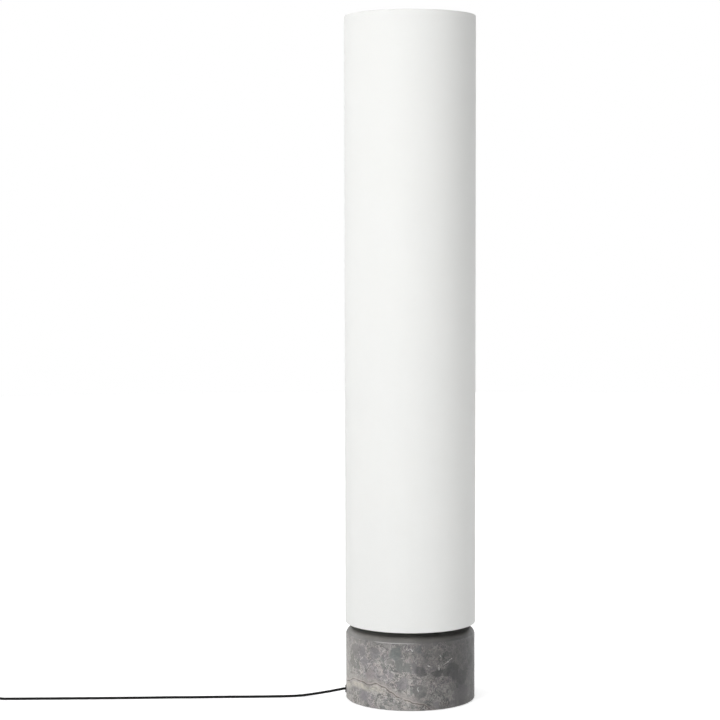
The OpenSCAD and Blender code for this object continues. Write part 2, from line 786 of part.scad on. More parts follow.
// The top frame: a ring, a sunk hub and three arms that bend up to the ring
module top_frame() {
    color(white_c) difference() {
        union() {
            wire_ring(top_ring_z);
            translate([0, 0, seat_top]) cylinder(d = hub_d, h = hub_t);
            for (a = arm_angles) rotate([0, 0, a]) {
                reach = arm_rise_r - arm_bend;
                straight([hub_d / 2 - 3, 0, arm_z], [0, 0, 0], reach - hub_d / 2 + 3, frame_arm_d);
                bend([reach, 0, arm_z + arm_bend], arm_bend, 270, frame_arm_d);
                translate([arm_rise_r, 0, arm_z + arm_bend])
                    cylinder(d = frame_arm_d, h = top_ring_z - 0.4 - arm_z - arm_bend);
            }
        }
        translate([0, 0, seat_top - 1]) cylinder(d = screw_shank_d + 2 * running, h = hub_t + 2);
    }
}

module bottom_ring() {
    color(white_c) wire_ring(low_ring_z);
}

// The thumb screw: a fluted head with a crowned top, on a plain shank
module thumb_screw() {
    r = screw_head_d / 2;
    base = seat_top + hub_t + 0.05;
    top = base + screw_head_h;
    flutes = 24;
    color(steel_c) difference() {
        turned([
            [0, seat_top - screw_reach], [screw_shank_d / 2 - 1, seat_top - screw_reach],
            [screw_shank_d / 2, seat_top - screw_reach + 1], [screw_shank_d / 2, base], [r - 1.5, base],
            [r - 1.5, base + 1.5], [r, base + 2], [r, top - 1.6], [r - 0.5, top - 0.6], [r - 1.6, top],
            [r - 4, top], [r - 5, top - 0.6], [0, top - 0.2]]);
        for (i = [0:flutes - 1]) rotate([0, 0, 360 * i / flutes])
            translate([r + 0.55, 0, base + 2.2]) cylinder(d = 2, h = screw_head_h - 4.2);
    }
}

// ---------- supply cord ----------

module cord_run() {
    color(black_c) tube(curve(run_points, 2), cord_d / 2, 10);
}

module cord_link() {
    color(black_c) tube(link_points, cord_d / 2, 10);
}

module cord_tail() {
    color(black_c) tube(tail_points, cord_d / 2, 10);
}

// Distance of the coil's middle line from its axis after t turns: in, out, in and out again
function coil_r(t) = let (layer = min(3, floor(t / coil_layer_turns)), part = t - layer * coil_layer_turns)
    layer % 2 == 0 ? coil_out - coil_pitch * part : coil_in + coil_pitch * part;

// Height of the coil's middle line after t turns: a layer up in the half turn round each reversal
function coil_z(t) = floor_z + coil_layer * (
    smooth((t - coil_layer_turns + 0.25) / 0.5)
    + smooth((t - 2 * coil_layer_turns + 0.25) / 0.5)
    + smooth((t - 3 * coil_layer_turns + 0.25) / 0.5));

// How far the cord rides up over the tie's strap, which passes under the coil at its -X side
function coil_lift(a) = let (off = abs((a % 360 + 360) % 360 - 180))
    off < tie_reach ? tie_lift * smooth(2 - 2 * off / tie_reach) : 0;

function coil_point(t) = let (a = -90 - 360 * t)
    [coil_x + coil_r(t) * cos(a), coil_y + coil_r(t) * sin(a), coil_z(t) + coil_lift(a)];

coil_start = coil_point(0);
coil_end = coil_point(coil_turns);
coil_points = concat(
    [for (s = [coil_lead, coil_lead / 2]) coil_start + [s, 0, 0]],
    [for (i = [0:coil_turns * coil_rings]) coil_point(i / coil_rings)],
    [for (s = [coil_lead / 2, coil_lead]) coil_end + [s, 0, 0]]);

// The least gap between the coil's turns, measured on its points half a turn and more apart
half_turn = coil_rings / 2;
coil_gap = min([
    for (i = [0:len(coil_points) - 1 - half_turn], j = [i + half_turn:len(coil_points) - 1])
        norm(coil_points[i] - coil_points[j])]) - cord_d;
echo(least_gap_in_the_coil = coil_gap);

module cord_coil() {
    color(black_c) tube(coil_points, cord_d / 2, coil_sides);
}

// A rounded box outline, from its lower left corner
module rounded(w, h, r) {
    translate([r, 0]) square([w - 2 * r, h]);
    translate([0, r]) square([w, h - 2 * r]);
    for (x = [r, w - r], y = [r, h - r]) translate([x, y]) circle(r = r);
}

// The strap that ties the coil, closed round all its turns
module cord_tie() {
    inner_w = coil_out - coil_in + cord_d + 2;
    inner_h = 3 * coil_layer + cord_d + 2 * 0.4;
    color(black_c) translate([coil_x - coil_out - cord_d / 2 - 1, coil_y + tie_w / 2, 0]) rotate([90, 0, 0])
        linear_extrude(tie_w) difference() {
            translate([-tie_t, 0]) rounded(inner_w + 2 * tie_t, inner_h + 2 * tie_t, 3 + tie_t);
            translate([0, tie_t]) rounded(inner_w, inner_h, 3);
        }
}

// ---------- foot switch ----------

module at_switch() {
    translate([switch_x, switch_y, 0]) children();
}

// A long rounded form: a profile of half width and height, turned at both ends and drawn straight between
module oblong(profile) {
    half = switch_l / 2 - switch_w / 2;
    for (side = [-1, 1]) translate([side * half, 0, 0]) rotate([0, 0, side > 0 ? -90 : 90])
        rotate_extrude(angle = 180) polygon(profile);
    translate([-half, 0, 0]) rotate([90, 0, 90]) linear_extrude(2 * half) {
        polygon(profile);
        mirror([1, 0]) polygon(profile);
    }
}

// The housing's section at a distance in from its outside, between two heights
function switch_section(inset, low, high, corner) = let (r = switch_w / 2 - inset) [
    [0, low], [r - corner / 2, low], [r, low + corner / 2], [r, high - corner],
    for (a = [15:15:90]) [r - corner + corner * cos(a), high - corner + corner * sin(a)],
    [0, high]];

module switch_ports(d) {
    for (side = [-1, 1]) straight([side * (switch_l / 2 - 6), 0, port_z], [0, 0, side > 0 ? 0 : 180], 8, d);
}

// The shadow line cut round the housing where its two shells meet
module switch_seam() {
    r = switch_w / 2;
    difference() {
        oblong([[0, switch_split - 1], [r + 1, switch_split - 1], [r + 1, switch_split + seam_h],
            [0, switch_split + seam_h]]);
        oblong([[0, switch_split - 2], [r - seam_depth, switch_split - 2], [r - seam_depth, switch_split + 1],
            [0, switch_split + 1]]);
    }
}

// Runs for each of the two screws that hold the housing together
module at_screws() {
    for (side = [-1, 1]) translate([side * screw_x, 0, 0]) children();
}

module switch_base() {
    color(black_c) at_switch() difference() {
        union() {
            difference() {
                oblong(switch_section(0, shell_bottom, switch_top, 5));
                oblong(switch_section(switch_wall, shell_bottom + switch_wall, switch_top - switch_wall, 3));
                translate([-switch_l, -switch_w, switch_split]) cube([2 * switch_l, 2 * switch_w, switch_h]);
            }
            at_screws() translate([0, 0, shell_bottom + 1]) cylinder(d = boss_d, h = boss_z - shell_bottom - 1 - fit);
        }
        switch_ports(sleeve_root + 2 * fit);
        translate([-switch_l / 2 + pad_margin, -switch_w / 2 + pad_margin, 0])
            cube([switch_l - 2 * pad_margin, switch_w - 2 * pad_margin, pad_thick]);
        at_screws() cylinder(d = screw_d + 2 * fit, h = switch_h);
        at_screws() cylinder(d = head_d + 2 * fit, h = pad_thick + head_h + fit);
    }
}

module switch_cover() {
    color(black_c) at_switch() {
        difference() {
            oblong(switch_section(0, shell_bottom, switch_top, 5));
            oblong(switch_section(switch_wall, shell_bottom + switch_wall, switch_top - switch_wall, 3));
            translate([-switch_l, -switch_w, -1]) cube([2 * switch_l, 2 * switch_w, switch_split + 1]);
            switch_seam();
            switch_ports(sleeve_root + 2 * fit);
            translate([0, 0, switch_top - 5]) cylinder(d = button_d + 0.8, h = 9);
        }
        at_screws() pipe(boss_d, screw_d + fit, boss_z, switch_top - switch_wall + 0.5 - boss_z);
    }
}

// The bought-in push switch under the button: a block with its plunger
module switch_mechanism() {
    deck = button_roof - button_skirt - button_travel - 1;
    plunger_top = button_top - button_crown - button_travel - loose;
    color(white_c) at_switch() {
        translate([-10, -8, shell_bottom + switch_wall]) cube([20, 16, deck - shell_bottom - switch_wall]);
        translate([0, 0, deck - 1]) cylinder(d = 6, h = plunger_top - deck + 1);
    }
}

// The push button: a cup with a crowned top and a skirt that keeps it under the housing's roof
module switch_button() {
    r = button_d / 2;
    inside = button_top - button_crown;
    skirt = button_roof - button_skirt;
    color(black_c) at_switch() turned([
        [0, inside], [r - 3, inside], [r - 3, skirt], [r + 2, skirt], [r + 2, button_roof], [r, button_roof],
        [r, button_top - 2], [r - 0.6, button_top - 1], [r - 2, button_top - 0.3], [r - 5, button_top],
        [0, button_top]]);
}

// Two screws with flat heads that face the floor, each with a cross recess
module switch_screws() {
    color(steel_c) at_switch() at_screws() translate([0, 0, pad_thick]) difference() {
        union() {
            cylinder(d = head_d, h = head_h);
            cylinder(d = screw_d, h = boss_z + 5 - pad_thick);
        }
        for (a = [0, 90]) rotate([0, 0, a]) translate([-1.6, -0.35, -1]) cube([3.2, 0.7, 2]);
    }
}

module switch_pad() {
    inset = pad_margin + fit;
    color(grey_c) at_switch() translate([-switch_l / 2 + inset, -switch_w / 2 + inset, 0])
        cube([switch_l - 2 * inset, switch_w - 2 * inset, pad_thick]);
}

// A tapered strain relief along +X from a housing's wall, with rings that let it bend
module sleeve(l, root, tip, inside) {
    rings = 5;
    step = (l - 4) / rings;
    rotate([0, 90, 0]) turned(concat(
        [[0, -inside], [root / 2, -inside], [root / 2, 1.5]],
        [for (i = [0:rings - 1], e = [0:3]) let (
            z = 2 + i * step + [0, 0.3, 0.6, 0.9][e] * step,
            r = (root + (tip - root) * z / l) / 2)
            [e == 1 || e == 2 ? r - 0.7 : r, z]],
        [[tip / 2, l - 0.8], [tip / 2 - 0.5, l], [0, l]]));
}

module switch_sleeves() {
    color(black_c) at_switch() for (side = [0, 180]) rotate([0, 0, side])
        translate([switch_l / 2, 0, port_z]) sleeve(sleeve_l, sleeve_root, sleeve_tip, switch_wall + sleeve_lip);
}

// ---------- plug ----------

// The plug's body: it widens from the neck to the pins, with well rounded sides and grip grooves on both faces
module plug_body() {
    edge = plug_t / 2 - 2;
    grip_r = 0.9;
    color(black_c) translate([plug_x, plug_y, plug_z]) {
        difference() {
            hull() for (y = [-1, 1], z = [-1, 1]) {
                translate([edge, y * (plug_neck / 2 - edge), z * 2]) sphere(r = edge, $fn = 24);
                translate([plug_l * 0.62, y * (plug_w / 2 - edge), z * 2]) sphere(r = edge, $fn = 24);
                translate([plug_l - 1, y * (plug_w / 2 - edge), z * 2])
                    rotate([0, 90, 0]) cylinder(r = edge, h = 1, $fn = 24);
            }
            for (x = [10:3:22], z = [-1, 1]) translate([x, 0, z * (plug_t / 2 + 0.2)]) rotate([90, 0, 0])
                cylinder(r = grip_r, h = plug_neck - 1 + (x - 10) / 2, center = true, $fn = 12);
        }
        for (y = [-1, 1]) straight([plug_l - 1, y * pin_pitch / 2, 0], [0, 0, 0], pin_sleeve_l + 1, pin_d - 0.3);
    }
}

module plug_sleeve() {
    color(black_c) translate([plug_x, plug_y, plug_z]) mirror([1, 0, 0])
        sleeve(plug_sleeve_l, 10.5, sleeve_tip, 0);
}

module plug_pins() {
    color(steel_c) for (y = [-1, 1])
        translate([plug_x + plug_l + pin_sleeve_l, plug_y + y * pin_pitch / 2, plug_z]) rotate([0, 90, 0]) turned([
            [0, 0], [pin_d / 2, 0], [pin_d / 2, pin_l - pin_sleeve_l - 1.2],
            [pin_d / 2 - 0.5, pin_l - pin_sleeve_l - 0.3], [0, pin_l - pin_sleeve_l]]);
}

stone_base();
foot_pad();
cover_plate();
side_outlet();
inner_cord();
cord_anchor();
anchor_screws();
terminal_block();
threaded_rod();
clamp_washer();
lock_washer();
hex_nut();
foot_plate();
stem_insert();
stem();
stem_top_plug();
lead_grommets();
lower_spider();
spider_tips();
spider_screw();
lower_bracket();
upper_bracket();
bracket_screws();
holder_nipples();
holder_nuts();
lower_lampholder();
upper_lampholder();
screw_shells();
lower_lead();
upper_lead();
lower_bulb_cap();
lower_bulb_glass();
upper_bulb_cap();
upper_bulb_glass();
shade_canvas();
shade_lining();
top_frame();
bottom_ring();
thumb_screw();
cord_run();
cord_link();
cord_coil();
cord_tail();
cord_tie();
switch_base();
switch_cover();
switch_mechanism();
switch_button();
switch_screws();
switch_pad();
switch_sleeves();
plug_body();
plug_sleeve();
plug_pins();
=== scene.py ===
"""Column floor lamp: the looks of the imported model. Metres, +Z up, the front is -Y, the cord leaves at -X."""
import math

import bmesh
import bpy
from mathutils import Matrix, Vector
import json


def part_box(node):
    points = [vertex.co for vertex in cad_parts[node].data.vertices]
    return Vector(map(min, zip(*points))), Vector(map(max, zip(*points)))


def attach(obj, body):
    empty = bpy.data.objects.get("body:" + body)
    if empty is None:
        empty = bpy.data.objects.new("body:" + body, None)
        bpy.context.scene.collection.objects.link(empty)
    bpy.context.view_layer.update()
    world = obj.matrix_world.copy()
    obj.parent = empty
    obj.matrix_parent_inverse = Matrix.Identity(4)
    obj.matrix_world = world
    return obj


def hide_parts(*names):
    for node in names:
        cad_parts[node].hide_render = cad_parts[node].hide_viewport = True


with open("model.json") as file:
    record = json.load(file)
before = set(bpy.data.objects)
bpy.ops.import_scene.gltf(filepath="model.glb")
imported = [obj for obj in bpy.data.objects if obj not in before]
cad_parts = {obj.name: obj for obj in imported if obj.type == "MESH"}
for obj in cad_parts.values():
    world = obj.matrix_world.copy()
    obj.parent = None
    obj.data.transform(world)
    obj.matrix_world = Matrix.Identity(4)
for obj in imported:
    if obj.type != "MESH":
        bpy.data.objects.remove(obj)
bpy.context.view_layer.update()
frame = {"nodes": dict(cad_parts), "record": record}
NODES = frame["nodes"]


def put(name, data):
    """A new object with that data, in the scene."""
    thing = bpy.data.objects.new(name, data)
    bpy.context.scene.collection.objects.link(thing)
    return thing


def mesh_of(name, bm):
    """A new mesh with the bmesh's faces. The bmesh is used up."""
    mesh = bpy.data.meshes.new(name)
    bm.to_mesh(mesh)
    bm.free()
    return mesh


# ---------- camera ----------

CAMERA_PLACE = Vector((-0.0859, -3.5031, 0.8144))
CAMERA_YAW, CAMERA_PITCH, CAMERA_ROLL = -0.00067, -0.06114, -0.00209
SENSOR_WIDTH, CAMERA_LENS = 36.0, 99.636
CLIP_START, CLIP_END = 0.05, 60


def make_camera():
    """The photograph's camera: a long lens, level with the shade's upper half and tipped slightly down."""
    ahead = Vector((math.sin(CAMERA_YAW) * math.cos(CAMERA_PITCH),
                    math.cos(CAMERA_YAW) * math.cos(CAMERA_PITCH),
                    math.sin(CAMERA_PITCH)))
    level = Vector((math.cos(CAMERA_YAW), -math.sin(CAMERA_YAW), 0))
    above = level.cross(ahead)
    right = level * math.cos(CAMERA_ROLL) + above * math.sin(CAMERA_ROLL)
    up = above * math.cos(CAMERA_ROLL) - level * math.sin(CAMERA_ROLL)
    data = bpy.data.cameras.new("camera")
    data.sensor_width = SENSOR_WIDTH
    data.lens = CAMERA_LENS
    data.clip_start, data.clip_end = CLIP_START, CLIP_END
    camera = put("camera", data)
    camera.matrix_world = Matrix.Translation(CAMERA_PLACE) @ Matrix((right, up, -ahead)).transposed().to_4x4()
    bpy.context.scene.camera = camera


make_camera()

# ---------- cords: the route's points are those of the CAD model, in metres ----------

CORD_DIAMETER = 0.0045
CORD_ON_FLOOR = CORD_DIAMETER / 2
BEVEL_STEPS = 5
PORT_HEIGHT = 0.007
OUTLET = (-0.1155, 0, 0.0145)
RUN_POINTS = [
    OUTLET, (-0.119, 0, 0.0143), (-0.124, 0, 0.0133), (-0.132, 0, 0.0118), (-0.145, 0.0002, 0.0093),
    (-0.160, 0.0003, 0.0068), (-0.175, 0.0002, 0.0045), (-0.190, -0.0008, 0.0028),
    (-0.204, -0.0032, CORD_ON_FLOOR), (-0.220, -0.0058, CORD_ON_FLOOR), (-0.245, -0.0074, CORD_ON_FLOOR),
    (-0.280, -0.009, CORD_ON_FLOOR), (-0.320, -0.0098, CORD_ON_FLOOR), (-0.350, -0.011, CORD_ON_FLOOR),
    (-0.385, -0.0126, CORD_ON_FLOOR), (-0.425, -0.0133, CORD_ON_FLOOR), (-0.465, -0.0152, CORD_ON_FLOOR),
    (-0.510, -0.017, CORD_ON_FLOOR), (-0.560, -0.0186, CORD_ON_FLOOR), (-0.610, -0.0198, CORD_ON_FLOOR),
    (-0.660, -0.0208, CORD_ON_FLOOR), (-0.705, -0.0217, CORD_ON_FLOOR), (-0.722, -0.022, 0.0025),
    (-0.734, -0.022, 0.0044), (-0.744, -0.022, 0.0065), (-0.752, -0.022, PORT_HEIGHT),
]
LINK_POINTS = [
    (-0.872, -0.022, PORT_HEIGHT), (-0.879, -0.022, 0.0065), (-0.888, -0.022, 0.0044),
    (-0.900, -0.022, 0.0025), (-0.916, -0.022, CORD_ON_FLOOR),
]
TAIL_POINTS = [
    (-0.916, 0.0414, 0.01785), (-0.909, 0.0414, 0.0176), (-0.898, 0.0426, 0.0158), (-0.886, 0.045, 0.0118),
    (-0.875, 0.047, 0.0084), (-0.867, 0.048, 0.0072), (-0.860, 0.048, PORT_HEIGHT),
]
SMOOTH_STEPS = 8

# The coil: its middle, the innermost turn's radius, the steps between turns and layers, and how it is wound
COIL_CENTRE = (-0.925, 0.011)
COIL_INNER, COIL_PITCH, COIL_LAYER = 0.020, 0.0052, 0.0052
COIL_LAYERS, COIL_LAYER_TURNS, COIL_TURNS = 4, 2.5, 9.5
COIL_OUTER = COIL_INNER + COIL_PITCH * COIL_LAYER_TURNS
COIL_START = -90  # degrees
COIL_SWAP = 0.25  # turns, on either side of the change from a layer to the next
COIL_RINGS = 48
TIE_SIDE, TIE_REACH, TIE_LIFT = 180, 50, 0.00095  # degrees, degrees, metres


def smooth(u):
    """From 0 to 1 as u does, level at both ends and held beyond them."""
    c = min(1.0, max(0.0, u))
    return c * c * (3 - 2 * c)


def through(points, steps):
    """A smooth line through all the points, with that many steps between neighbours."""
    p = [Vector(q) for q in points]
    line = []
    for i in range(len(p) - 1):
        a, b, c, d = p[max(i - 1, 0)], p[i], p[i + 1], p[min(i + 2, len(p) - 1)]
        for j in range(steps):
            t = j / steps
            line.append(0.5 * (2 * b + t * (c - a) + t * t * (2 * a - 5 * b + 4 * c - d)
                               + t * t * t * (3 * b - a - 3 * c + d)))
    return line + [p[-1]]


def coil_point(t):
    """The coil's middle line after t turns: layers that spiral in and out by turns, over the strap at -X."""
    layer = min(COIL_LAYERS - 1, int(t / COIL_LAYER_TURNS))
    part = t - layer * COIL_LAYER_TURNS
    radius = COIL_OUTER - COIL_PITCH * part if layer % 2 == 0 else COIL_INNER + COIL_PITCH * part
    height = CORD_ON_FLOOR + COIL_LAYER * sum(
        smooth((t - k * COIL_LAYER_TURNS + COIL_SWAP) / (2 * COIL_SWAP)) for k in range(1, COIL_LAYERS))
    degrees = COIL_START - 360 * t
    off_tie = abs(degrees % 360 - TIE_SIDE)
    lift = TIE_LIFT * smooth(2 - 2 * off_tie / TIE_REACH)
    a = math.radians(degrees)
    x, y = COIL_CENTRE
    return Vector((x + radius * math.cos(a), y + radius * math.sin(a), height + lift))


def cord_curve(name, points):
    """A round cord along the points, as a curve of one open spline."""
    data = bpy.data.curves.new(name, "CURVE")
    data.dimensions = "3D"
    data.bevel_depth = CORD_DIAMETER / 2
    data.bevel_resolution = BEVEL_STEPS
    data.use_fill_caps = True
    spline = data.splines.new("POLY")
    spline.points.add(len(points) - 1)
    for place, point in zip(spline.points, points):
        place.co = (*point, 1)
    spline.use_smooth = True
    return put(name, data)


run_line = through(RUN_POINTS, SMOOTH_STEPS)
wound = [coil_point(i / COIL_RINGS) for i in range(int(COIL_TURNS * COIL_RINGS) + 1)]
lead_line = through(LINK_POINTS, SMOOTH_STEPS) + wound + through(TAIL_POINTS, SMOOTH_STEPS)
supply_run = cord_curve("supply_cord_run", run_line)
supply_lead = cord_curve("supply_cord_lead", lead_line)
for cord in (supply_run, supply_lead):
    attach(cord, "base")
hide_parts("cord_run")
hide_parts("cord_link", "cord_coil", "cord_tail")


# ---------- materials: node trees ----------

NOISE_RANGE = (0.3, 0.7)  # what a noise's values mostly lie between


class Nodes:
    """Builds a node tree. An input takes a socket, which is linked, or a plain value."""

    def __init__(self, tree, coordinate="Object"):
        self.tree = tree
        self.place = self.node("TexCoord", out=coordinate)

    def feed(self, socket, value):
        if isinstance(value, bpy.types.NodeSocket):
            self.tree.links.new(value, socket)
        elif socket.type == "RGBA" and not hasattr(value, "__len__"):
            socket.default_value = (value, value, value, 1)
        elif socket.type == "RGBA" and len(value) == 3:
            socket.default_value = (*value, 1)
        else:
            socket.default_value = value

    def node(self, kind, inputs=(), out=0, **settings):
        n = self.tree.nodes.new("ShaderNode" + kind)
        for key, value in settings.items():
            setattr(n, key, value)
        for key, value in dict(inputs).items():
            self.feed(n.inputs[key], value)
        return n.outputs[out]

    # Numbers

    def math(self, operation, a, b=0.0, c=0.0):
        return self.node("Math", {0: a, 1: b, 2: c}, operation=operation)

    def times(self, first, *others):
        for other in others:
            first = self.math("MULTIPLY", first, other)
        return first

    def weighed(self, a, share_a, b, share_b):
        return self.math("ADD", self.times(a, share_a), self.times(b, share_b))

    def away(self, value, level):
        """How far the value is from a level, on either side."""
        return self.math("ABSOLUTE", self.math("SUBTRACT", value, level))

    def span(self, value, low, high, to_low=0.0, to_high=1.0):
        """The value's way from low to high, smooth at both ends and held beyond them."""
        return self.node("MapRange", {"Value": value, "From Min": low, "From Max": high, "To Min": to_low,
                                      "To Max": to_high}, interpolation_type="SMOOTHSTEP")

    def line_over(self, x, points):
        """The height over x of a line through chosen (x, height) points, smooth between neighbours."""
        height = points[0][1]
        for (x0, z0), (x1, z1) in zip(points, points[1:]):
            height = self.math("ADD", self.span(x, x0, x1, 0.0, z1 - z0), height)
        return height

    # Places

    def vector(self, operation, a, b=(0, 0, 0), out=0):
        return self.node("VectorMath", {0: a, 1: b}, out=out, operation=operation)

    def axis(self, name, place=None):
        return self.node("SeparateXYZ", {0: place or self.place}, out=name)

    def stretched(self, scale, place=None):
        return self.node("Mapping", {"Vector": place or self.place, "Scale": scale})

    def moved(self, place, by):
        return self.vector("ADD", place, (by, by * 0.7, by * 1.3))

    def shaken(self, place, scale, reach):
        """The place, pushed about by a noise of that scale."""
        push = self.vector("SUBTRACT", self.noise(scale, 4, 0.55, place=place, out="Color"), (0.5, 0.5, 0.5))
        return self.vector("ADD", place, self.vector("MULTIPLY", push, (reach, reach, reach)))

    def blot(self, place, size, around):
        """1 at a place and 0 from that size outwards."""
        return self.span(self.vector("DISTANCE", around, place, out="Value"), size, size * 0.75)

    def streak(self, start, end, width, around):
        """1 along the straight line between two places and 0 from that width outwards."""
        way = Vector(end) - Vector(start)
        from_start = self.vector("SUBTRACT", around, start)
        share = self.vector("DOT_PRODUCT", from_start, way / way.length_squared, out="Value")
        held = self.math("MINIMUM", self.math("MAXIMUM", share, 0.0), 1.0)
        nearest = self.node("VectorMath", {0: held, 1: way, 2: start}, operation="MULTIPLY_ADD")
        return self.span(self.vector("DISTANCE", around, nearest, out="Value"), width, width * 0.3)

    # Patterns and surfaces

    def noise(self, scale, detail=3.0, roughness=0.5, distortion=0.0, place=None, out="Fac"):
        return self.node("TexNoise", {"Vector": place or self.place, "Scale": scale, "Detail": detail,
                                      "Roughness": roughness, "Distortion": distortion}, out=out)

    def cells(self, scale, feature="DISTANCE_TO_EDGE", place=None, out="Distance"):
        return self.node("TexVoronoi", {"Vector": place or self.place, "Scale": scale}, out=out,
                         feature=feature)

    def mix(self, share, a, b, blend="MIX"):
        return self.node("Mix", {0: share, 6: a, 7: b}, out=2, data_type="RGBA", blend_type=blend)

    def bump(self, height, strength, distance, under=None):
        inputs = {"Height": height, "Strength": strength, "Distance": distance}
        if under is not None:
            inputs["Normal"] = under
        return self.node("Bump", inputs)

    def seen_directly(self):
        """1 where the stage is seen, also in metal and through glass, and 0 where it only lights the lamp."""
        path = self.tree.nodes.new("ShaderNodeLightPath")
        mirrored = self.math("MAXIMUM", path.outputs["Is Glossy Ray"], path.outputs["Is Transmission Ray"])
        return self.math("MAXIMUM", path.outputs["Is Camera Ray"], mirrored)


class Shader(Nodes):
    """A material whose principled surface the settings and set() feed."""

    def __init__(self, name, **settings):
        self.material = bpy.data.materials.new(name)
        self.material.use_nodes = True
        super().__init__(self.material.node_tree)
        self.surface = self.tree.nodes["Principled BSDF"]
        for socket, value in settings.items():
            self.set(socket.replace("_", " ").title().replace("Ior", "IOR"), value)

    def set(self, socket, value):
        self.feed(self.surface.inputs[socket], value)

    def roughen(self, noise, low, high):
        """Roughness that goes from low to high with a noise."""
        self.set("Roughness", self.span(noise, *NOISE_RANGE, low, high))


# ---------- materials: the stone ----------

DARK_GREY, LIGHT_GREY = (0.105, 0.104, 0.101), (0.285, 0.277, 0.267)
LILAC_GREY, GREEN_GREY = (0.228, 0.214, 0.228), (0.160, 0.174, 0.168)
ISLAND_GREY, TEAL_GREY, ROSE_GREY = (0.085, 0.086, 0.087), (0.155, 0.180, 0.178), (0.290, 0.262, 0.262)
BAND_GREY, BEIGE = (0.330, 0.305, 0.288), (0.500, 0.470, 0.410)
# Shoulder greys: its own plain grey, set a little pale against the shade under the rim, a painted shadow's grey
# and the top's painted light
SHOULDER_GREY, SHOULDER_SHADOW_GREY = (0.222, 0.217, 0.209), (0.082, 0.081, 0.078)
TOP_PAINTED_LIGHT = (0.400, 0.380, 0.350)
VEIN_PALE, VEIN_ROSE, VEIN_DARK = (0.470, 0.450, 0.430), (0.470, 0.415, 0.395), (0.100, 0.080, 0.062)
# The flecks' white also paints the highlight on the arris
STROKE_DARK, FLECK_AND_HIGHLIGHT_WHITE = (0.090, 0.090, 0.088), (0.600, 0.590, 0.570)

# Noises that push the pattern about, as (scale, reach), and the scales of the other noises and cells
DRIFT, SHAKE, RAGGED, CRUMBLED, FRAYED = (18, 0.022), (80, 0.009), (40, 0.020), (150, 0.009), (260, 0.0048)
CLOUD_SCALE, CELL_SCALE, SPECKLE_SCALE, CRUMB_SCALE, PIT_SCALE, GRAIN_SCALE = 30, 58, 240, 330, 140, 900

# How cell and cloud share the tone, how far from its rim a cell counts, and how quiet the smooth parts are
CELL_SHARE, CLOUD_SHARE = 0.45, 0.55
TONE_RANGE, CLOUD_RANGE = (0.15, 0.85), (0.34, 0.66)
CELL_INSIDE, QUIET_CELLS = (0.04, 0.14), (0.58, 0.64)
PATCH_QUIET, BAND_QUIET = 0.8, 0.6
# Tints as (where a cell's tint starts and is full, share, colour)
TINTS = [((0.55, 0.70), 0.60, LILAC_GREY), ((0.35, 0.20), 0.45, GREEN_GREY)]

# The long vein as (x, height), how far it strays, where a noise lets its lines be, and its lines as
# (level above it, half width, share, colour)
LONG_VEIN = [(-0.1135, 0.034), (-0.0985, 0.045), (-0.0865, 0.044), (-0.0740, 0.041), (-0.0620, 0.0445),
             (-0.0490, 0.040), (-0.0365, 0.033), (-0.0240, 0.0245), (-0.0085, 0.0188), (0.0035, 0.014),
             (0.0190, 0.011), (0.0365, 0.0005), (0.0900, -0.016)]
VEIN_STRAYS, VEIN_HERE = 0.0035, (0.30, 0.48)
VEIN_LINES = [(0.0022, 0.0011, 0.55, VEIN_ROSE), (-0.0024, 0.0011, 0.50, VEIN_ROSE),
              (0.0, 0.0011, 0.75, VEIN_DARK)]

# What follows is in the order of span(): from, to, and the values there where they are not 0 and 1.
# Levels above the vein where the pale band and the beige patch below it start and end
PALE_STARTS, PALE_ENDS = (-0.002, 0.001), (0.013, 0.006)
BEIGE_STARTS, BEIGE_ENDS = (-0.016, -0.009), (-0.001, -0.005)
# Places along X: the pale band fades, the beige patch starts, the left edge pales, the strokes get fewer
PALE_FADES = (0.03, 0.0, 0.0, 0.65)
BEIGE_LEFT, LEFT_EDGE = (-0.036, -0.052), (-0.078, -0.104, 0.0, 0.16)
FEW_STROKES = (0.050, 0.085, 1.0, 0.45)
# The beige is strongest in the light clouds, the strokes weakest in the quiet cells and patches
BEIGE_CLOUDS, QUIET_STROKES = (0.0, 0.5, 0.4, 0.9), (0.0, 1.0, 1.0, 0.10)
# Painted shade: lighter along the vein, darker above it towards the stone's top and in three steps to the
# right, away from the light
PAINTED_SHADE_ABOVE = (0.090, 0.032, 0.70, 1.12)
PAINTED_SHADE_RIGHT = [(-0.012, 0.028, 1.0, 0.62), (0.036, 0.100, 1.0, 0.60), (0.096, 0.112, 1.0, 0.72)]
# The plain shoulder: darker to the right as painted shadow, paler to the top as painted light, and a painted
# highlight on the arris along a part of its lower edge
SHOULDER_HEIGHT, SHOULDER_EDGE, SHOULDER_SHARE = 0.1178, 0.001, 0.85
SHOULDER_SHADOW_RIGHT, SHOULDER_LIGHT_TOP = (0.030, 0.095), (0.1190, 0.1240, 0.0, 0.5)
ARRIS_WIDTH, ARRIS_STARTS, ARRIS_ENDS = (0.0010, 0.0003), (-0.068, -0.058), (0.016, -0.012)
ARRIS_HIGHLIGHT_SHARE, SPECKLE_SHARE = 0.45, 0.30

# Where a noise lets strokes be, and the strokes as (scale, half width, share, colour)
STROKES_HERE = (0.45, 0.51)
STROKES = [(36, 0.024, 0.60, VEIN_PALE), (75, 0.040, 0.50, STROKE_DARK), (60, 0.036, 0.72, VEIN_PALE),
           (90, 0.046, 0.66, VEIN_ROSE), (130, 0.055, 0.50, VEIN_PALE)]
